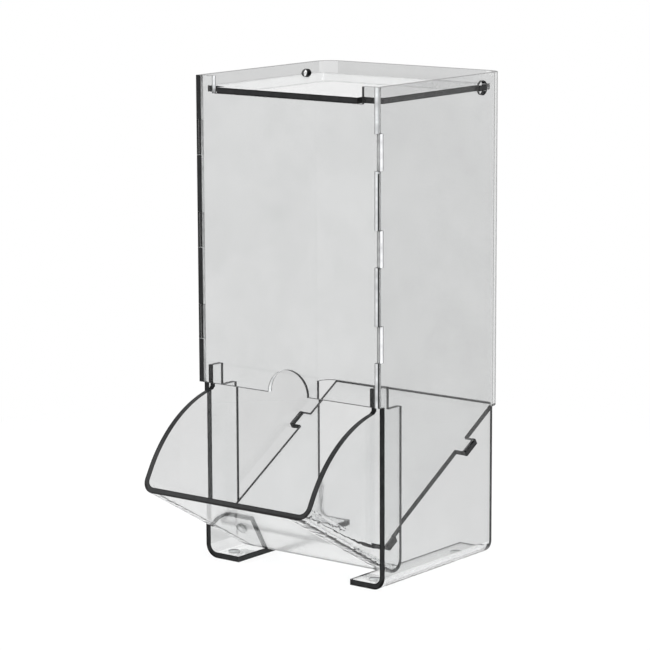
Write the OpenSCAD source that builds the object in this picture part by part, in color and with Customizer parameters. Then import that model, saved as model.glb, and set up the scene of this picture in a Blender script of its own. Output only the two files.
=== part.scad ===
// Candy bin with a hinged lid and a scoop tray.
// Five pieces laser cut from clear acrylic sheet. The body and the tray are also heat bent.
// Origin: centre of the four foot holes, on the floor. +X right, +Y back, +Z up.

/* [Sheet] */
// Thickness of the acrylic sheet
sheet_t = 3; // [2.5:0.5:4]
// Gap on each side of a tab in its slot or notch
joint_gap = 0.1; // [0.05:0.05:0.3]

/* [Body] */
// Outside width of the body
body_w = 115; // [95:1:150]
// Outside depth of the body, from the front panel's face to the back
body_d = 107; // [90:1:140]
// Height of the body
body_h = 250; // [220:1:320]
// Outer radius of the two upright bends at the back
back_bend_r = 10; // [6:0.5:14]
// Height of the back panel's bottom edge above the floor
back_edge_z = 78; // [70:1:88]
// How far the side walls' lower front edges lie behind the front panel's face
wall_setback = 4; // [4:0.5:10]

/* [Feet] */
// Outer radius of the bend between each side wall and its foot
foot_bend_r = 7; // [5:0.5:8]
// Width of each foot, from the body's outer face
foot_w = 21.5; // [20:0.5:30]
// Diameter of the holes in the feet
foot_hole_d = 6; // [4:0.5:7]
// Distance of each foot hole from the body's outer face
foot_hole_side = 12; // [11.5:0.5:15]
// Distance of the front holes behind the front edge of the foot
foot_hole_front = 8; // [6:0.5:20]
// Distance of the rear holes in front of the rear edge of the foot
foot_hole_rear = 17; // [6:0.5:25]

/* [Front panel] */
// Height of the front panel's bottom edge above the floor
panel_edge_z = 93; // [90:1:110]
// Number of finger tabs on each upright edge
finger_count = 3; // [2:1:4]
// Height of each finger tab
finger_h = 18; // [10:1:24]
// Width of the ear left at each end of the notch in the top edge
panel_ear_w = 10.5; // [8:0.5:16]
// Diameter of the finger arch in the bottom edge
arch_d = 25; // [15:1:40]

/* [Lid] */
// Depth of the lid's hinge axis below the body's top edge
axis_drop = 7; // [6:0.5:12]
// Distance of the hinge axis in front of the back panel's outer face
axis_back = 20; // [18:0.5:30]
// Diameter of the hinge holes in the side walls
hinge_hole_d = 7.5; // [7:0.5:9]
// Gap between the corners of each hinge lug and its hole
lug_gap = 0.2; // [0.1:0.05:0.5]
// Length of the lid behind its hinge axis
lid_tail = 9; // [7:0.5:13]
// Gap between the lid's sides and the side walls
lid_side_gap = 0.8; // [0.5:0.1:2]
// Gap between the lid's shoulders and the front panel
lid_front_gap = 3; // [0.5:0.5:5]
// Gap between the lid's tongue and each side of the notch
tongue_gap = 3; // [1:0.5:6]
// Height of the closed lid above the bottom of the notch
lid_rest_gap = 0.2; // [0.1:0.05:0.5]

/* [Tray] */
// How far the tray's lip reaches in front of the front panel's face
tray_reach = 51.5; // [44:0.5:55]
// Distance of the tray's rear edge behind the front panel's face
tray_back = 22; // [20:0.5:26]
// Height of the tray's rear edge above the feet
tray_lift = 1.2; // [0.5:0.1:2]
// Slope of the tray's floor in degrees
tray_slope = 29.5; // [26:0.5:32]
// Outer radius of the tray's two bends
tray_bend_r = 7; // [5:0.5:7.5]
// Gap between the tray's cheeks and the side walls
tray_gap = 1.5; // [0.5:0.1:2]
// Distance of the highest point of the cheeks' front curve behind the front panel's face
crown_back = 13.5; // [12:0.5:18]
// How far the cheeks' top edges lie below the front panel's bottom edge
cheek_drop = 2.5; // [1:0.25:5]
// How far the hooks reach up behind the front panel
hook_reach = 9; // [6:0.5:14]
// Depth of each hook from front to back
hook_d = 8; // [5:0.5:10]
// Gap between the hooks and the front panel
hook_gap = 0.3; // [0.2:0.1:0.6]
// Radius of the fillet between each hook and the cheek's front curve
hook_fillet_r = 2.5; // [1:0.25:3]

/* [Ramp] */
// Gap between the ramp's sides and the tray's cheeks
ramp_gap = 0.6; // [0.4:0.1:2]
// Distance of the ramp's front end behind the front panel's face
ramp_front = 11.5; // [8:0.5:13]
// Clear height between the tray's floor and the ramp's front end
ramp_lift = 5.5; // [3:0.25:7]
// Length of each upper tab along the slope
ramp_tab_len = 10; // [8:0.5:11]
// Length of each lower tab along the slope
ramp_low_tab_len = 7; // [5:0.5:8]
// Distance of the upper tabs' middle from the ramp's rear end, along the slope
ramp_tab_back = 33; // [30:0.5:42]
// How far the upper tabs stand out of the side walls
ramp_tab_proud = 0.5; // [0:0.25:1.5]

/* [Hidden] */
$fn = 96;
// Overrun of a cutting shape past the face that it opens
cut = 1;

half_w = body_w / 2;
half_in = half_w - sheet_t;
foot_len = body_d - wall_setback - back_bend_r;
foot_hole_x = half_w - foot_hole_side;
foot_hole_y = (foot_len - foot_hole_front - foot_hole_rear) / 2;

// Faces from front to back: front panel, feet and back panel
face_y = -(wall_setback + foot_hole_front + foot_hole_y);
wall_rear_y = face_y + wall_setback + foot_len;
back_y = face_y + body_d;

panel_h = body_h - panel_edge_z;
// Spreads the tabs so that a third of a step is left over between the panel's two ends
finger_pitch = panel_h / (finger_count + 1 / 3);
finger_z = [for (i = [0:finger_count - 1])
    panel_edge_z + panel_h / 2 + (i - (finger_count - 1) / 2) * finger_pitch];
notch_half = half_w - panel_ear_w;

axis_y = back_y - axis_back;
axis_z = body_h - axis_drop;
// The lug is a flat bar whose four corners turn inside the round hole
lug_w = 2 * sqrt(pow(hinge_hole_d / 2 - lug_gap, 2) - pow(sheet_t / 2, 2));

// Tray in the upright plane. Its frame starts at the rear corner of the underside.
tray_half = half_in - tray_gap;
tray_rear_y = face_y + tray_back;
tray_rear_z = sheet_t + tray_lift;
tray_len = (tray_reach + tray_back) / cos(tray_slope);
lip_y = face_y - tray_reach;
lip_z = tray_rear_z + tray_len * sin(tray_slope);
cheek_top_z = panel_edge_z - cheek_drop;
crown_y = face_y + crown_back;
// The cheeks' front curve touches the lip's plane and the level top edge, which would meet here
corner_y = lip_y + (cheek_top_z - lip_z) * tan(tray_slope);
cheek_r = (crown_y - corner_y) * cos(tray_slope) / (1 - sin(tray_slope));
cheek_mid_z = cheek_top_z - cheek_r;
curve_start = tray_slope + 2;
hook_y = face_y + sheet_t + hook_gap;
hook_top_z = panel_edge_z + hook_reach;
// Centre of the fillet that touches both the hook's front edge and the cheek's front curve
fillet_y = hook_y - hook_fillet_r;
fillet_z = cheek_mid_z + sqrt(pow(cheek_r + hook_fillet_r, 2) - pow(crown_y - fillet_y, 2));

// Ramp in the upright plane. Its frame starts at the front corner of the underside.
ramp_half = tray_half - sheet_t - ramp_gap;
ramp_y = face_y + ramp_front;
ramp_z = tray_rear_z + (tray_rear_y - ramp_y) * tan(tray_slope) + sheet_t / cos(tray_slope)
    + ramp_lift;
// The rear end lies just under the back panel's bottom edge, flush with its outer face
ramp_run = back_y - ramp_y;
ramp_rise = back_edge_z - 2 * joint_gap - ramp_z
    - sheet_t * cos(atan2(back_edge_z - ramp_z, ramp_run));
ramp_slope = atan2(ramp_rise, ramp_run);
ramp_len = ramp_run / cos(ramp_slope);

// Quarter of a bent sheet's section, between +x and -y, around the bend's centre
module bend_2d(r) {
    intersection() {
        difference() {
            circle(r);
            circle(r - sheet_t);
        }
        translate([0, -r])
            square(r);
    }
}

// Plan of the back panel, its two bends and the side walls
module wrap_2d() {
    bend_x = half_w - back_bend_r;
    bend_y = back_y - back_bend_r;
    translate([-bend_x, back_y - sheet_t])
        square([2 * bend_x, sheet_t]);
    for (side = [0, 1]) mirror([side, 0]) {
        translate([bend_x, bend_y])
            mirror([0, 1])
                bend_2d(back_bend_r);
        translate([half_in, face_y])
            square([sheet_t, bend_y - face_y]);
    }
}

// Front view of a side wall with its bend and foot
module foot_2d() {
    bend_x = half_w - foot_bend_r;
    translate([half_in, foot_bend_r])
        square([sheet_t, body_h - foot_bend_r]);
    translate([bend_x, foot_bend_r])
        bend_2d(foot_bend_r);
    translate([half_w - foot_w, 0])
        square([foot_w - foot_bend_r, sheet_t]);
}

// Section of the tray across its slope, standing on its underside
module tray_2d() {
    bend_x = tray_half - tray_bend_r;
    translate([-bend_x, 0])
        square([2 * bend_x, sheet_t]);
    for (side = [0, 1]) mirror([side, 0]) {
        translate([bend_x, tray_bend_r])
            bend_2d(tray_bend_r);
        translate([tray_half - sheet_t, tray_bend_r])
            square([sheet_t, hook_top_z]);
    }
}

// Space in front of the cheek: outside its front curve and its fillet, ahead of the hook.
// Its lower edge lies on a ray from the curve's centre, a little above where the lip touches.
module front_curve_2d() {
    difference() {
        polygon([
            [hook_y, cheek_mid_z + (crown_y - hook_y) * tan(curve_start)],
            [crown_y - (cheek_r + cut) * cos(curve_start),
                cheek_mid_z + (cheek_r + cut) * sin(curve_start)],
            [corner_y - cut, cheek_top_z + cut],
            [hook_y, hook_top_z + cut]]);
        translate([crown_y, cheek_mid_z])
            circle(cheek_r, $fn = 2 * $fn);
        difference() {
            polygon([[crown_y, cheek_mid_z], [hook_y, fillet_z], [fillet_y, fillet_z]]);
            translate([fillet_y, fillet_z])
                circle(hook_fillet_r);
        }
    }
}

// Side view of the tray: lip, front curve, hook, level top edge and upright rear edge
module cheek_2d() {
    difference() {
        polygon([
            [lip_y - cut * tan(tray_slope), lip_z - cut],
            [corner_y, cheek_top_z],
            [hook_y, cheek_top_z],
            [hook_y, hook_top_z],
            [hook_y + hook_d, hook_top_z],
            [hook_y + hook_d, cheek_top_z],
            [tray_rear_y, cheek_top_z],
            [tray_rear_y, 0]]);
        front_curve_2d();
    }
}

// Stands shapes drawn in the ramp's frame on its slope
module on_ramp() {
    translate([0, ramp_y, ramp_z])
        rotate([ramp_slope, 0, 0])
            children();
}

// Bar across the ramp at one pair of tabs, widened on each side by a gap
module tab_bar(middle, len, reach, gap) {
    translate([-reach, middle - len / 2 - gap, -gap])
        cube([2 * reach, len + 2 * gap, sheet_t + 2 * gap]);
}

// One bent sheet: back panel, both side walls and the feet
module body_wrap() color([0.88, 0.9, 0.91, 0.4]) {
    difference() {
        union() {
            translate([0, 0, back_edge_z])
                linear_extrude(body_h - back_edge_z)
                    wrap_2d();
            for (side = [0, 1]) mirror([side, 0, 0])
                translate([0, wall_rear_y, 0])
                    rotate([90, 0, 0])
                        linear_extrude(foot_len)
                            foot_2d();
        }
        // Lower front edges, set back below the front panel
        translate([-half_w - cut, face_y - cut, back_edge_z - cut])
            cube([body_w + 2 * cut, wall_setback + cut, panel_edge_z - back_edge_z + cut]);
        // Notches for the front panel's finger tabs
        for (z = finger_z)
            translate([-half_w - cut, face_y - cut, z - finger_h / 2 - joint_gap])
                cube([body_w + 2 * cut, sheet_t + joint_gap + cut, finger_h + 2 * joint_gap]);
        // Hinge holes for the lid's lugs
        translate([-half_w - cut, axis_y, axis_z])
            rotate([0, 90, 0])
                cylinder(d = hinge_hole_d, h = body_w + 2 * cut);
        // Slots for the ramp's upper tabs
        on_ramp()
            tab_bar(ramp_len - ramp_tab_back, ramp_tab_len, half_w + cut, joint_gap);
        // Foot holes
        for (x = [-1, 1]) for (y = [-1, 1])
            translate([x * foot_hole_x, y * foot_hole_y, -cut])
                cylinder(d = foot_hole_d, h = sheet_t + 2 * cut);
    }
}

// Flat panel between the side walls, with finger tabs, lid notch and finger arch
module front_panel() color([0.88, 0.9, 0.91, 0.4]) {
    half_panel = half_in - joint_gap;
    notch_z = axis_z - sheet_t / 2 - lid_rest_gap;
    translate([0, face_y + sheet_t, 0])
        rotate([90, 0, 0])
            linear_extrude(sheet_t)
                difference() {
                    union() {
                        translate([-half_panel, panel_edge_z])
                            square([2 * half_panel, panel_h]);
                        for (z = finger_z)
                            translate([-half_w, z - finger_h / 2])
                                square([body_w, finger_h]);
                    }
                    translate([-notch_half, notch_z])
                        square([2 * notch_half, body_h - notch_z + cut]);
                    translate([0, panel_edge_z])
                        circle(d = arch_d);
                }
}

// Flat lid with a tongue at the front and a hinge lug on each side near the rear
module lid() color([0.88, 0.9, 0.91, 0.4]) {
    half_lid = half_in - lid_side_gap;
    half_tongue = notch_half - tongue_gap;
    shoulder_y = face_y + sheet_t + lid_front_gap;
    tail_y = axis_y + lid_tail;
    translate([0, 0, axis_z - sheet_t / 2])
        linear_extrude(sheet_t) {
            translate([-half_lid, shoulder_y])
                square([2 * half_lid, tail_y - shoulder_y]);
            translate([-half_tongue, face_y])
                square([2 * half_tongue, shoulder_y - face_y + cut]);
            translate([-half_w, axis_y - lug_w / 2])
                square([body_w, lug_w]);
        }
}

// One bent sheet: sloping floor and two cheeks that hook behind the front panel
module scoop_tray() color([0.88, 0.9, 0.91, 0.4]) {
    difference() {
        intersection() {
            translate([0, tray_rear_y, tray_rear_z])
                rotate([90 - tray_slope, 0, 0])
                    translate([0, 0, -cut])
                        linear_extrude(tray_len + 2 * cut)
                            tray_2d();
            translate([-half_w, 0, 0])
                rotate([90, 0, 90])
                    linear_extrude(body_w)
                        cheek_2d();
        }
        // Slots for the ramp's lower tabs
        on_ramp()
            tab_bar(ramp_low_tab_len / 2, ramp_low_tab_len, half_w, joint_gap);
    }
}

// Flat sloping floor on two pairs of tabs, in the side walls and in the tray's cheeks
module ramp() color([0.88, 0.9, 0.91, 0.4]) {
    on_ramp() {
        translate([-ramp_half, 0, 0])
            cube([2 * ramp_half, ramp_len, sheet_t]);
        tab_bar(ramp_len - ramp_tab_back, ramp_tab_len, half_w + ramp_tab_proud, 0);
        tab_bar(ramp_low_tab_len / 2, ramp_low_tab_len, tray_half + tray_gap / 2, 0);
    }
}

body_wrap();
front_panel();
lid();
scoop_tray();
ramp();
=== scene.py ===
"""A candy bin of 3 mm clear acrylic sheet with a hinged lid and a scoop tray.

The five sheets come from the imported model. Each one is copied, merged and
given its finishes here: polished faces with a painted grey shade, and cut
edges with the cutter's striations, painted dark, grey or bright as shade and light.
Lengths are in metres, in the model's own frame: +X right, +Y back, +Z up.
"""

import bmesh
import bpy
import numpy as np
from mathutils import Matrix


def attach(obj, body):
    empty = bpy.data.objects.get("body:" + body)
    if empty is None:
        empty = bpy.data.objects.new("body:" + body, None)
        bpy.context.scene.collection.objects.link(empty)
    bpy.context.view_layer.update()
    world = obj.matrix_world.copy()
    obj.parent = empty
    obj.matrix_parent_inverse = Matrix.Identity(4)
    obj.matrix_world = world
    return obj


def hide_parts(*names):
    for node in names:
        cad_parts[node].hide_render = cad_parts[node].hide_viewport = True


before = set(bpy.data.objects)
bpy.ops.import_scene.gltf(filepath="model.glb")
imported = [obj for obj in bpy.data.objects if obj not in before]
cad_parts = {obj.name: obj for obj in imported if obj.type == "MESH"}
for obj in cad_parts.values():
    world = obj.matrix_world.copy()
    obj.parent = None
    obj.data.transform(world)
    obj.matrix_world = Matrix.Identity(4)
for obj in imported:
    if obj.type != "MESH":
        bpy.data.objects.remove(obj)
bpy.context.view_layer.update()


# Camera: a long lens slightly above the bin's middle, seen from the front
# right. The direction and the distance are solved from the bin's own edges.
camera_turn, camera_drop, camera_roll = np.radians([37.803, 10.274, -0.227])
camera_target = np.array([-0.014865, 0.0040, 0.1196])
camera_distance = 1.483541
focal_pixels = 2881.236
picture_pixels = 650.0
sensor_width = 36.0

looks_along = np.array([-np.sin(camera_turn) * np.cos(camera_drop),
                        np.cos(camera_turn) * np.cos(camera_drop),
                        -np.sin(camera_drop)])
level = np.array([np.cos(camera_turn), np.sin(camera_turn), 0.0])
upright = np.cross(level, looks_along)
camera_right = level * np.cos(camera_roll) + upright * np.sin(camera_roll)
camera_up = -level * np.sin(camera_roll) + upright * np.cos(camera_roll)

camera_data = bpy.data.cameras.new("photo_camera")
camera_data.sensor_width = sensor_width
camera_data.lens = sensor_width * focal_pixels / picture_pixels
camera_data.clip_end = 20.0
camera = bpy.data.objects.new("photo_camera", camera_data)
camera_place = Matrix(np.column_stack([camera_right, camera_up, -looks_along]).tolist()).to_4x4()
camera_place.translation = camera_target - looks_along * camera_distance
camera.matrix_world = camera_place
bpy.context.scene.collection.objects.link(camera)
bpy.context.scene.camera = camera


# Body wrap: one sheet that is the back, both side walls and both feet, cut
# flat by laser and then bent over a hot wire. Its faces keep the factory
# polish. Its cut edges get painted shade, coloured dark where the light runs
# away inside the sheet, and painted light in some places, coloured grey or bright.
sheet_thickness = 0.003
acrylic_ior = 1.49
merge_distance = 6e-5
flat_angle = np.radians(0.3)
arris_angle = np.radians(30.0)
least_turn = 0.01
most_turn = 0.9995
squarely = 0.9
top_edge_z = 0.249
tray_mouth_z = 0.0925
foot_hole_at = (0.0455, 0.034)
foot_hole_reach = 0.0035
recess_y = -0.044


def read_sheet(node, outer_side):
    """Copy a node's mesh as one merged sheet, and tell its faces from its cut edges.

    Faces that meet at less than 30 degrees are one patch. The two largest
    patches are the sheet's polished sides, and the one that reaches further
    along outer_side is the outer one. All the other patches are cut edges.
    """
    mesh = bpy.data.meshes.new(node + "_sheet")
    shape = bmesh.new()
    shape.from_mesh(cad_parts[node].data)
    bmesh.ops.remove_doubles(shape, verts=shape.verts, dist=merge_distance)
    bmesh.ops.dissolve_limit(shape, angle_limit=flat_angle, verts=shape.verts, edges=shape.edges)
    shape.faces.ensure_lookup_table()
    patch_of = {}
    patches = []
    for first in shape.faces:
        if first.index in patch_of:
            continue
        patch, waiting = [], [first]
        patch_of[first.index] = len(patches)
        while waiting:
            face = waiting.pop()
            patch.append(face)
            for edge in face.edges:
                for other in edge.link_faces:
                    if other.index not in patch_of and edge.calc_face_angle(np.pi) < arris_angle:
                        patch_of[other.index] = len(patches)
                        waiting.append(other)
        patches.append(patch)
    patches_by_area = sorted(range(len(patches)),
                             key=lambda i: -sum(f.calc_area() for f in patches[i]))
    reach = [max(float(np.dot(v.co, outer_side)) for f in patches[i] for v in f.verts)
             for i in patches_by_area[:2]]
    outer, inner = patches_by_area[:2] if reach[0] > reach[1] else patches_by_area[1::-1]
    patch = np.array([patch_of[f.index] for f in shape.faces])
    shape.to_mesh(mesh)
    shape.free()
    return mesh, patch, outer, inner


def make_sheet(node, outer_side, finishes, choose_edge):
    """Build the finished sheet of a node: polished sides, and edges by choose_edge.

    Point attribute "across" runs from -1 on the inner side to 1 on the outer
    side. Point attribute "middle" is the nearest place halfway through the
    sheet, so a pattern on it runs straight from one side to the other.
    Corner normals are the patch's own, weighted by the area of its faces. A
    face is in a bend where its normal is turned part of the way to the x axis,
    and in a low bend where it also leans up or down. The finishes come in the
    order flat, bent, level side, low bend, then the cut edges.
    """
    mesh, patch, outer, inner = read_sheet(node, outer_side)
    faces = len(mesh.polygons)
    normals = np.empty(faces * 3)
    centres = np.empty(faces * 3)
    areas = np.empty(faces)
    loop_total = np.empty(faces, dtype=np.int32)
    mesh.polygons.foreach_get("normal", normals)
    mesh.polygons.foreach_get("center", centres)
    mesh.polygons.foreach_get("area", areas)
    mesh.polygons.foreach_get("loop_total", loop_total)
    normals, centres = normals.reshape(-1, 3), centres.reshape(-1, 3)
    loop_vertex = np.empty(len(mesh.loops), dtype=np.int32)
    mesh.loops.foreach_get("vertex_index", loop_vertex)
    loop_face = np.repeat(np.arange(faces), loop_total)
    points = np.empty(len(mesh.vertices) * 3)
    mesh.vertices.foreach_get("co", points)
    points = points.reshape(-1, 3)

    corner_name = patch[loop_face] * len(points) + loop_vertex
    keys, corner_key = np.unique(corner_name, return_inverse=True)
    smooth = np.zeros((len(keys), 3))
    np.add.at(smooth, corner_key, normals[loop_face] * areas[loop_face][:, None])
    smooth /= np.linalg.norm(smooth, axis=1)[:, None] + 1e-30
    loop_normal = smooth[corner_key]

    across = np.zeros(len(points))
    middle = points.copy()
    for side, sign in ((outer, 1.0), (inner, -1.0)):
        on_side = patch[loop_face] == side
        across[loop_vertex[on_side]] = sign
        middle[loop_vertex[on_side]] = (points[loop_vertex[on_side]]
                                        - loop_normal[on_side] * sheet_thickness / 2)
    mesh.attributes.new("across", "FLOAT", "POINT").data.foreach_set("value", across)
    mesh.attributes.new("middle", "FLOAT_VECTOR", "POINT").data.foreach_set(
        "vector", middle.ravel())

    on_edge = (patch != outer) & (patch != inner)
    sideways = np.abs(normals[:, 0])
    in_bend = (sideways > least_turn) & (sideways < most_turn)
    is_upright = np.abs(normals[:, 2]) < least_turn
    side = np.select([in_bend & is_upright, in_bend, ~is_upright],
                     [bent, low_bend, level_side], flat)
    finish = np.where(on_edge, choose_edge(centres, normals), side).astype(np.int32)
    for material in finishes:
        mesh.materials.append(material)
    mesh.polygons.foreach_set("material_index", finish)
    mesh.polygons.foreach_set("use_smooth", np.ones(faces, dtype=bool))
    mesh.normals_split_custom_set(loop_normal.tolist())
    sheet = bpy.data.objects.new(node + "_sheet", mesh)
    bpy.context.scene.collection.objects.link(sheet)
    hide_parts(node)
    return sheet


def add_node(tree, kind, **settings):
    """Add a shader node, set its properties, and set or link its inputs by name."""
    node = tree.nodes.new("ShaderNode" + kind)
    inputs = settings.pop("inputs", {})
    for name, value in settings.items():
        setattr(node, name, value)
    for name, value in inputs.items():
        socket = node.inputs[name]
        if isinstance(value, bpy.types.NodeSocket):
            tree.links.new(value, socket)
        else:
            socket.default_value = value
    return node


def grey_scale(tree, factor, *stops):
    """Turn a factor into a grey that runs straight between the given (place, grey) stops."""
    node = add_node(tree, "ValToRGB", inputs={"Fac": factor})
    elements = node.color_ramp.elements
    while len(elements) < len(stops):
        elements.new(0.5)
    for element, (place, value) in zip(elements, stops):
        element.position = place
        element.color = (value, value, value, 1.0)
    return node.outputs["Color"]


def polish_group():
    """Marks on polished acrylic: wide clouds of handling, and hair-fine wiping scratches."""
    group = bpy.data.node_groups.new("polish_marks", "ShaderNodeTree")
    group.interface.new_socket("Tint", in_out="INPUT", socket_type="NodeSocketColor")
    group.interface.new_socket("Haze", in_out="INPUT", socket_type="NodeSocketFloat")
    group.interface.new_socket("Color", in_out="OUTPUT", socket_type="NodeSocketColor")
    group.interface.new_socket("Roughness", in_out="OUTPUT", socket_type="NodeSocketFloat")
    group.interface.new_socket("Height", in_out="OUTPUT", socket_type="NodeSocketFloat")
    given = group.nodes.new("NodeGroupInput").outputs
    result = group.nodes.new("NodeGroupOutput").inputs
    place = add_node(group, "TexCoord").outputs["Object"]
    cloud = add_node(group, "TexNoise", inputs={
        "Vector": place, "Scale": 28.0, "Detail": 3.0, "Roughness": 0.6}).outputs["Fac"]
    stretched = add_node(group, "Mapping", inputs={
        "Vector": place, "Rotation": (0.5, 0.3, 0.9),
        "Scale": (1.0, 30.0, 1.0)}).outputs["Vector"]
    scratch = add_node(group, "TexNoise", inputs={
        "Vector": stretched, "Scale": 60.0, "Detail": 2.0}).outputs["Fac"]
    faint = grey_scale(group, cloud, (0.35, 0.96), (0.65, 1.0))
    tinted = add_node(group, "Mix", data_type="RGBA", blend_type="MULTIPLY",
                      inputs={"Factor": 1.0})
    group.links.new(given["Tint"], tinted.inputs["A"])
    group.links.new(faint, tinted.inputs["B"])
    patchy = grey_scale(group, cloud, (0.45, 0.0), (0.75, 1.0))
    hazy = add_node(group, "Math", operation="MULTIPLY", inputs={0: patchy, 1: given["Haze"]})
    group.links.new(tinted.outputs["Result"], result["Color"])
    group.links.new(hazy.outputs[0], result["Roughness"])
    group.links.new(scratch, result["Height"])
    return group


def cut_group():
    """Laser-cut edge: striations straight through the sheet, and painted shade that darkens towards
    both arrises.
    """
    group = bpy.data.node_groups.new("cut_marks_and_painted_shade", "ShaderNodeTree")
    group.interface.new_socket("Core", in_out="INPUT", socket_type="NodeSocketColor")
    group.interface.new_socket("Border", in_out="INPUT", socket_type="NodeSocketColor")
    group.interface.new_socket("Color", in_out="OUTPUT", socket_type="NodeSocketColor")
    group.interface.new_socket("Roughness", in_out="OUTPUT", socket_type="NodeSocketFloat")
    group.interface.new_socket("Height", in_out="OUTPUT", socket_type="NodeSocketFloat")
    given = group.nodes.new("NodeGroupInput").outputs
    result = group.nodes.new("NodeGroupOutput").inputs
    across = add_node(group, "Attribute", attribute_name="across").outputs["Fac"]
    middle = add_node(group, "Attribute", attribute_name="middle").outputs["Vector"]
    striation = add_node(group, "TexNoise", inputs={
        "Vector": middle, "Scale": 1400.0, "Detail": 1.0}).outputs["Fac"]
    ripple = add_node(group, "TexNoise", inputs={
        "Vector": middle, "Scale": 230.0, "Detail": 2.0}).outputs["Fac"]
    spread = add_node(group, "Math", operation="ABSOLUTE", inputs={0: across}).outputs[0]
    wander = add_node(group, "Math", operation="MULTIPLY_ADD",
                      inputs={0: ripple, 1: 0.35, 2: -0.17}).outputs[0]
    wavy = add_node(group, "Math", operation="ADD", inputs={0: spread, 1: wander}).outputs[0]
    # Painted shade: the edge colour turns to the darker border colour near both arrises.
    border = grey_scale(group, wavy, (0.62, 0.0), (0.80, 1.0))
    mixed = add_node(group, "Mix", data_type="RGBA", inputs={"Factor": border})
    group.links.new(given["Core"], mixed.inputs["A"])
    group.links.new(given["Border"], mixed.inputs["B"])
    streak = grey_scale(group, ripple, (0.30, 0.75), (0.70, 1.25))
    toned = add_node(group, "Mix", data_type="RGBA", blend_type="MULTIPLY",
                     inputs={"Factor": 1.0, "A": mixed.outputs["Result"], "B": streak})
    rough = add_node(group, "MapRange", inputs={"Value": striation, "To Min": 0.22, "To Max": 0.42})
    group.links.new(toned.outputs["Result"], result["Color"])
    group.links.new(rough.outputs["Result"], result["Roughness"])
    group.links.new(striation, result["Height"])
    return group


polish_marks = polish_group()
cut_marks_and_painted_shade = cut_group()


# Painted shade for the clear sheets: a grey on the sheet first looked into, set piece by piece, a
# weaker grey behind it, and painted dark lines where a sheet turns edge-on.
first_look_blue = 1.003
later_sheets = (0.965, 0.97, 0.97, 1.0)
painted_rim_shade = (0.03, 0.03, 0.03, 1.0)
edge_on_painted_shade = ((0.93, 0.0), (0.99, 1.0))


def clear_acrylic(name, first_look_shade, darkening=edge_on_painted_shade, ripple=0.0, rippled=None):
    """Clear sheet with painted shade: a grey, set piece by piece, where it is first
    looked into, and painted dark lines on its outer side where it turns edge-on.

    The painted grey is much weaker in the sheets behind the first, and the shadow ray
    goes straight through. Darkening gives stops of (turn, share) for the painted dark
    lines, where turn is 0 seen square-on and 1 seen edge-on. Ripple is the depth of the waves
    that bending leaves, and rippled, if given, the band of distances from the
    middle plane x = 0 that has them.
    """
    material = bpy.data.materials.new(name)
    material.use_nodes = True
    tree = material.node_tree
    plastic = tree.nodes["Principled BSDF"]
    plastic.inputs["IOR"].default_value = acrylic_ior
    plastic.inputs["Transmission Weight"].default_value = 1.0
    plastic.inputs["Specular Tint"].default_value = (0.35, 0.35, 0.35, 1.0)
    path = add_node(tree, "LightPath")
    # Painted shade: the per-piece grey on the sheet first looked into, a weaker grey behind it.
    painted_sheet_grey = add_node(tree, "Mix", data_type="RGBA", inputs={
        "Factor": path.outputs["Is Camera Ray"], "A": later_sheets,
        "B": (first_look_shade, first_look_shade * first_look_blue, first_look_shade * first_look_blue, 1.0)})
    # Painted shade: dark lines on the outer side where the sheet turns edge-on.
    facing = add_node(tree, "LayerWeight", inputs={"Blend": 0.5}).outputs["Facing"]
    edge_on = grey_scale(tree, facing, *darkening)
    outer_side = add_node(tree, "Attribute", attribute_name="across").outputs["Fac"]
    outer_rim = add_node(tree, "Math", operation="MULTIPLY", use_clamp=True,
                         inputs={0: edge_on, 1: outer_side}).outputs[0]
    rim = add_node(tree, "Mix", data_type="RGBA", inputs={
        "Factor": outer_rim, "A": painted_sheet_grey.outputs["Result"], "B": painted_rim_shade})
    marks = add_node(tree, "Group", node_tree=polish_marks,
                     inputs={"Tint": rim.outputs["Result"], "Haze": 0.02})
    bump = add_node(tree, "Bump", inputs={
        "Strength": 0.02, "Distance": 0.0002, "Height": marks.outputs["Height"]})
    normal = bump.outputs["Normal"]
    if ripple:
        place = add_node(tree, "TexCoord").outputs["Object"]
        wave = add_node(tree, "TexNoise", inputs={
            "Vector": place, "Scale": 240.0, "Detail": 1.0}).outputs["Fac"]
        if rippled:
            aside = add_node(tree, "SeparateXYZ", inputs={"Vector": place}).outputs["X"]
            aside = add_node(tree, "Math", operation="ABSOLUTE", inputs={0: aside}).outputs[0]
            band_place = add_node(tree, "MapRange", inputs={
                "Value": aside, "From Min": rippled[0], "From Max": rippled[1]}).outputs["Result"]
            in_band = grey_scale(tree, band_place,
                                 (0.0, 0.0), (0.12, 1.0), (0.88, 1.0), (1.0, 0.0))
            wave = add_node(tree, "Math", operation="MULTIPLY",
                            inputs={0: wave, 1: in_band}).outputs[0]
        normal = add_node(tree, "Bump", inputs={
            "Strength": 1.0, "Distance": ripple, "Height": wave,
            "Normal": normal}).outputs["Normal"]
    tree.links.new(marks.outputs["Color"], plastic.inputs["Base Color"])
    tree.links.new(marks.outputs["Roughness"], plastic.inputs["Roughness"])
    tree.links.new(normal, plastic.inputs["Normal"])
    shade = add_node(tree, "BsdfTransparent", inputs={"Color": (0.86, 0.87, 0.87, 1.0)})
    mixed = add_node(tree, "MixShader", inputs={"Fac": path.outputs["Is Shadow Ray"]})
    tree.links.new(plastic.outputs["BSDF"], mixed.inputs[1])
    tree.links.new(shade.outputs["BSDF"], mixed.inputs[2])
    tree.links.new(mixed.outputs["Shader"], tree.nodes["Material Output"].inputs["Surface"])
    return material


# Painted shade: a black line along some cut edges, full below a set height and faint above it.
line_black = (0.002, 0.002, 0.002, 1.0)
full_share = 0.98
faint_share = 0.28


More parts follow.
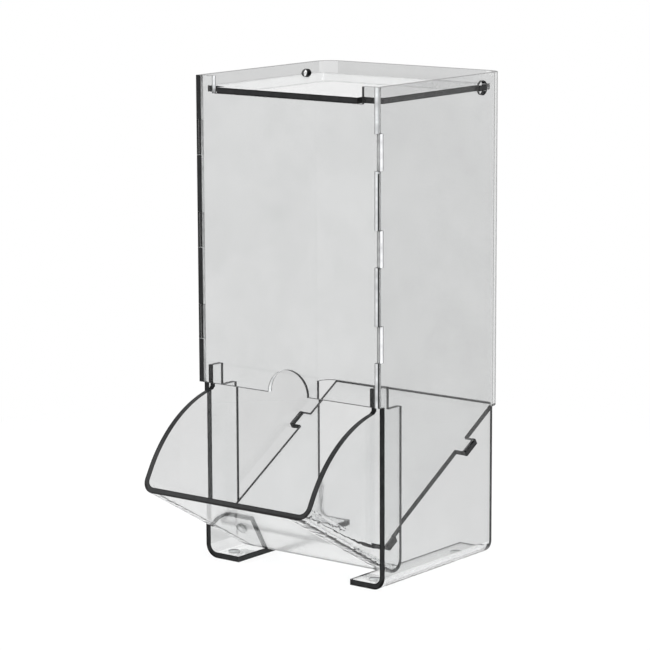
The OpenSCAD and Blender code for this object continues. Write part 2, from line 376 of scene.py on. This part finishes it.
def cut_edge(name, core, border, specular, line=None, lined_below=0.0):
    """Cut edge: a dense satin skin with the cutter's striations in it, its core
    and border colours painted shade on the dark edges and painted light on the pale ones.

    Line gives stops of (across, share) for a painted black shade line along the edge. It is
    full below the height lined_below and faint above it.
    """
    material = bpy.data.materials.new(name)
    material.use_nodes = True
    tree = material.node_tree
    skin = tree.nodes["Principled BSDF"]
    skin.inputs["IOR"].default_value = acrylic_ior
    skin.inputs["Specular IOR Level"].default_value = specular
    marks = add_node(tree, "Group", node_tree=cut_marks_and_painted_shade,
                     inputs={"Core": (*core, 1.0), "Border": (*border, 1.0)})
    bump = add_node(tree, "Bump", inputs={
        "Strength": 0.25, "Distance": 0.0001, "Height": marks.outputs["Height"]})
    colour = marks.outputs["Color"]
    if line:
        across = add_node(tree, "Attribute", attribute_name="across").outputs["Fac"]
        blackness = grey_scale(tree, across, *line)
        place = add_node(tree, "TexCoord").outputs["Object"]
        height = add_node(tree, "SeparateXYZ", inputs={"Vector": place}).outputs["Z"]
        low = add_node(tree, "Math", operation="LESS_THAN", inputs={0: height, 1: lined_below})
        share = add_node(tree, "Math", operation="MULTIPLY_ADD",
                         inputs={0: low.outputs[0], 1: full_share - faint_share, 2: faint_share})
        lined = add_node(tree, "Math", operation="MULTIPLY",
                         inputs={0: blackness, 1: share.outputs[0]})
        colour = add_node(tree, "Mix", data_type="RGBA", inputs={
            "Factor": lined.outputs[0], "A": colour, "B": line_black}).outputs["Result"]
    tree.links.new(colour, skin.inputs["Base Color"])
    tree.links.new(marks.outputs["Roughness"], skin.inputs["Roughness"])
    tree.links.new(bump.outputs["Normal"], skin.inputs["Normal"])
    return material


flat, bent, level_side, low_bend, dark, grey, bright, corner, half_dark = range(9)
# Height below which the corner edge's painted black shade line is full.
black_line_top = 0.2084
# Cut edge finishes, all painted light and shade: dark as shade where light runs away inside the
# sheet, grey as light on top edges, bright and corner pale as painted light, and painted black
# shade lines on corner and half dark.
edge_finishes = [
    cut_edge("painted_shade_cut_edge", (0.021, 0.0215, 0.022), (0.0015, 0.0015, 0.0015), 0.12),
    cut_edge("painted_light_grey_cut_edge", (0.11, 0.11, 0.11), (0.05, 0.05, 0.05), 0.3),
    cut_edge("painted_light_bright_cut_edge", (0.80, 0.805, 0.805), (0.14, 0.14, 0.14), 0.3),
    cut_edge("painted_light_corner_cut_edge", (0.72, 0.725, 0.725), (0.35, 0.35, 0.35), 0.3,
             line=((0.18, 0.0), (0.30, 1.0), (0.95, 1.0), (1.0, 0.0)), lined_below=black_line_top),
    cut_edge("half_painted_shade_cut_edge", (0.80, 0.805, 0.805), (0.30, 0.30, 0.30), 0.3,
             line=((0.0, 0.0), (0.08, 1.0)), lined_below=1.0)]
# Painted shade on the bends: dark lines at set turns of the view, so they move as the view turns.
back_bend_painted_shade = ((0.40, 0.0), (0.41, 0.95), (0.47, 0.95), (0.50, 0.0), (0.66, 0.0),
                       (0.74, 0.95))
foot_bend_painted_shade = ((0.62, 0.0), (0.64, 0.7), (0.68, 0.0))
# The walls, bends and feet are one clear acrylic, painted a lighter or darker grey piece by piece
# as painted light and shade.
wall_finishes = [
    clear_acrylic("wall_acrylic", 0.45),
    clear_acrylic("bent_wall_acrylic", 0.62, back_bend_painted_shade, ripple=0.00002),
    clear_acrylic("foot_acrylic", 0.86),
    clear_acrylic("foot_bend_acrylic", 0.66, foot_bend_painted_shade, ripple=0.00008),
    *edge_finishes]


def body_edges(centres, normals):
    """Pick the painted light and shade of the wrap's cut edges by where they are.

    Top edges are painted grey as light from above, the right wall's front edge above the tray is
    painted as the bright corner, foot holes are painted bright, the left recesses for the finger
    tabs are painted dark as shade on their outer half, and the rest is painted dark as shade.
    """
    x, y, z = centres.T
    faces_front = normals[:, 1] < -squarely
    on_top = (normals[:, 2] > squarely) & (z > top_edge_z)
    on_right_front = faces_front & (x > 0) & (z > tray_mouth_z)
    from_hole = np.hypot(np.abs(x) - foot_hole_at[0], np.abs(y) - foot_hole_at[1])
    in_foot_hole = (from_hole < foot_hole_reach) & (z < sheet_thickness)
    in_left_recess = faces_front & (x < 0) & (y > recess_y) & (y < 0) & (z > tray_mouth_z)
    return np.select([on_top, on_right_front, in_foot_hole, in_left_recess],
                     [grey, corner, bright, half_dark], dark)


body_wrap = make_sheet("body_wrap", (1, 0, 0), wall_finishes, body_edges)
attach(body_wrap, "bin")


# Front panel: a flat sheet glued between the side walls with three finger
# tabs a side, with a wide notch for the lid's tongue and a half-round arch.
inner_end_x = 0.0544
end_tolerance = 0.002
rightward = 0.3


def panel_edges(centres, normals):
    """Pick the painted light and shade of the panel's cut edges.

    Top edges are painted grey as light from above, the edges against the left wall and all that
    face right are painted bright as light, and the rest is painted dark as shade.
    """
    on_top = (normals[:, 2] > squarely) & (centres[:, 2] > top_edge_z)
    on_left_end = np.abs(centres[:, 0] + inner_end_x) < end_tolerance
    is_light = (normals[:, 0] > rightward) | on_left_end
    return np.select([on_top, is_light], [grey, bright], dark)


# The panel's clear acrylic has its own painted grey shade.
panel_acrylic = clear_acrylic("panel_acrylic", 0.545)
front_panel = make_sheet("front_panel", (0, -1, 0), [panel_acrylic] * 4 + edge_finishes,
                         panel_edges)
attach(front_panel, "bin")


# Lid: a flat sheet with a tongue in front and a flat lug on each side, which
# turn in round holes in the side walls.
lug_rear_y = 0.0445


def lid_edges(centres, normals):
    """The edges behind the lugs are painted grey as light, the rest painted dark as shade."""
    return np.where(centres[:, 1] > lug_rear_y, grey, dark)


# The lid's clear acrylic is painted a lighter grey than the walls, as painted light.
lid_acrylic = clear_acrylic("lid_acrylic", 0.84)
lid = make_sheet("lid", (0, 0, 1), [lid_acrylic] * 4 + edge_finishes, lid_edges)
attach(lid, "lid")


# Scoop tray: one sheet bent into a sloping floor with two upright cheeks. A
# hook at the top of each cheek holds it behind the front panel.
def all_dark(centres, normals):
    """Every cut edge of the sheet is painted dark as shade."""
    return np.full(len(centres), dark)


heated_band = (0.0400, 0.0475)
# Painted shade on the tray's bend: a dark line at a set turn of the view, so it moves as the view
# turns.
tray_bend_painted_shade = ((0.60, 0.0), (0.62, 0.97), (0.68, 0.97), (0.70, 0.0))
# Each part of the tray has its own painted grey shade.
tray_acrylic = clear_acrylic("tray_acrylic", 0.52)
tray_floor_acrylic = clear_acrylic("tray_floor_acrylic", 0.50, ripple=0.0009, rippled=heated_band)
tray_bend_acrylic = clear_acrylic("tray_bend_acrylic", 0.55, tray_bend_painted_shade, ripple=0.0001)
scoop_tray = make_sheet("scoop_tray", (1, 0, 0), [
    tray_acrylic, tray_acrylic, tray_floor_acrylic, tray_bend_acrylic, *edge_finishes], all_dark)
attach(scoop_tray, "bin")


# Ramp: a flat sheet that slopes from the back down to the tray, its rear end
# under the back panel. Two tabs stand in the side walls and two in the tray's
# cheeks.
# The ramp's clear acrylic has its own painted grey shade, and its cut edges are painted dark as
# shade.
ramp_acrylic = clear_acrylic("ramp_acrylic", 0.54)
ramp_sheet = make_sheet("ramp", (0, 0, 1), [ramp_acrylic] * 4 + edge_finishes, all_dark)
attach(ramp_sheet, "bin")


# Stage: a pale floor that keeps the bin's shadow, a white surrounding, and
# three soft lights, above, left and right.
floor_half = 1.6
floor_drop = 0.0005
lights_aim_z = 0.12
floor_mesh = bpy.data.meshes.new("pale_floor")
floor_corners = floor_half * np.array([(-1, -1, 0), (1, -1, 0), (1, 1, 0), (-1, 1, 0)])
floor_mesh.from_pydata(floor_corners.tolist(), [], [(0, 1, 2, 3)])
pale_floor = bpy.data.objects.new("pale_floor", floor_mesh)
pale_floor.location.z = -floor_drop
bpy.context.scene.collection.objects.link(pale_floor)


def background_ray(tree):
    """One for the rays that see the background: from the camera, off gloss, or through glass."""
    path = add_node(tree, "LightPath").outputs
    seen = add_node(tree, "Math", operation="ADD", use_clamp=True,
                    inputs={0: path["Is Camera Ray"], 1: path["Is Glossy Ray"]})
    return add_node(tree, "Math", operation="ADD", use_clamp=True,
                    inputs={0: seen.outputs[0], 1: path["Is Transmission Ray"]}).outputs[0]


floor_material = bpy.data.materials.new("pale_floor")
floor_material.use_nodes = True
tree = floor_material.node_tree
matte = tree.nodes["Principled BSDF"]
matte.inputs["Base Color"].default_value = (0.85, 0.85, 0.85, 1.0)
matte.inputs["Roughness"].default_value = 0.9
matte.inputs["Specular IOR Level"].default_value = 0.0
glow = add_node(tree, "Emission", inputs={"Color": (1.0, 1.0, 1.0, 1.0), "Strength": 1.0})
from_bin = add_node(tree, "VectorMath", operation="LENGTH", inputs={
    0: add_node(tree, "TexCoord").outputs["Object"]}).outputs["Value"]
glow_share = grey_scale(tree, from_bin, (0.12, 0.78), (0.40, 1.0))
share = add_node(tree, "Math", operation="MULTIPLY",
                 inputs={0: background_ray(tree), 1: glow_share})
mixed = add_node(tree, "MixShader", inputs={"Fac": share.outputs[0]})
tree.links.new(matte.outputs["BSDF"], mixed.inputs[1])
tree.links.new(glow.outputs["Emission"], mixed.inputs[2])
tree.links.new(mixed.outputs["Shader"], tree.nodes["Material Output"].inputs["Surface"])
floor_mesh.materials.append(floor_material)

world = bpy.data.worlds.new("white_studio")
bpy.context.scene.world = world
world.use_nodes = True
tree = world.node_tree
soft_fill = tree.nodes["Background"]
soft_fill.inputs["Color"].default_value = (0.95, 0.97, 1.0, 1.0)
soft_fill.inputs["Strength"].default_value = 0.6
white = add_node(tree, "Background", inputs={"Color": (1.0, 1.0, 1.0, 1.0), "Strength": 1.0})
mixed = add_node(tree, "MixShader", inputs={"Fac": background_ray(tree)})
tree.links.new(soft_fill.outputs["Background"], mixed.inputs[1])
tree.links.new(white.outputs["Background"], mixed.inputs[2])
tree.links.new(mixed.outputs["Shader"], tree.nodes["World Output"].inputs["Surface"])

for name, place, size, power in (("light_above", (0.1, -0.1, 1.5), 1.0, 14.0),
                                 ("light_left", (-1.3, -0.7, 0.8), 0.8, 9.0),
                                 ("light_right", (1.4, 0.1, 0.7), 0.8, 8.0)):
    light_data = bpy.data.lights.new(name, "AREA")
    light_data.size = size
    light_data.energy = power
    light = bpy.data.objects.new(name, light_data)
    back_axis = np.array(place) - np.array([0.0, 0.0, lights_aim_z])
    back_axis /= np.linalg.norm(back_axis)
    side_axis = np.cross([0.0, 1.0, 0.1], back_axis)
    side_axis /= np.linalg.norm(side_axis)
    turn = np.column_stack([side_axis, np.cross(back_axis, side_axis), back_axis])
    light.matrix_world = Matrix.Translation(place) @ Matrix(turn.tolist()).to_4x4()
    light.visible_camera = False
    bpy.context.scene.collection.objects.link(light)

bpy.context.scene.view_settings.view_transform = "Standard"
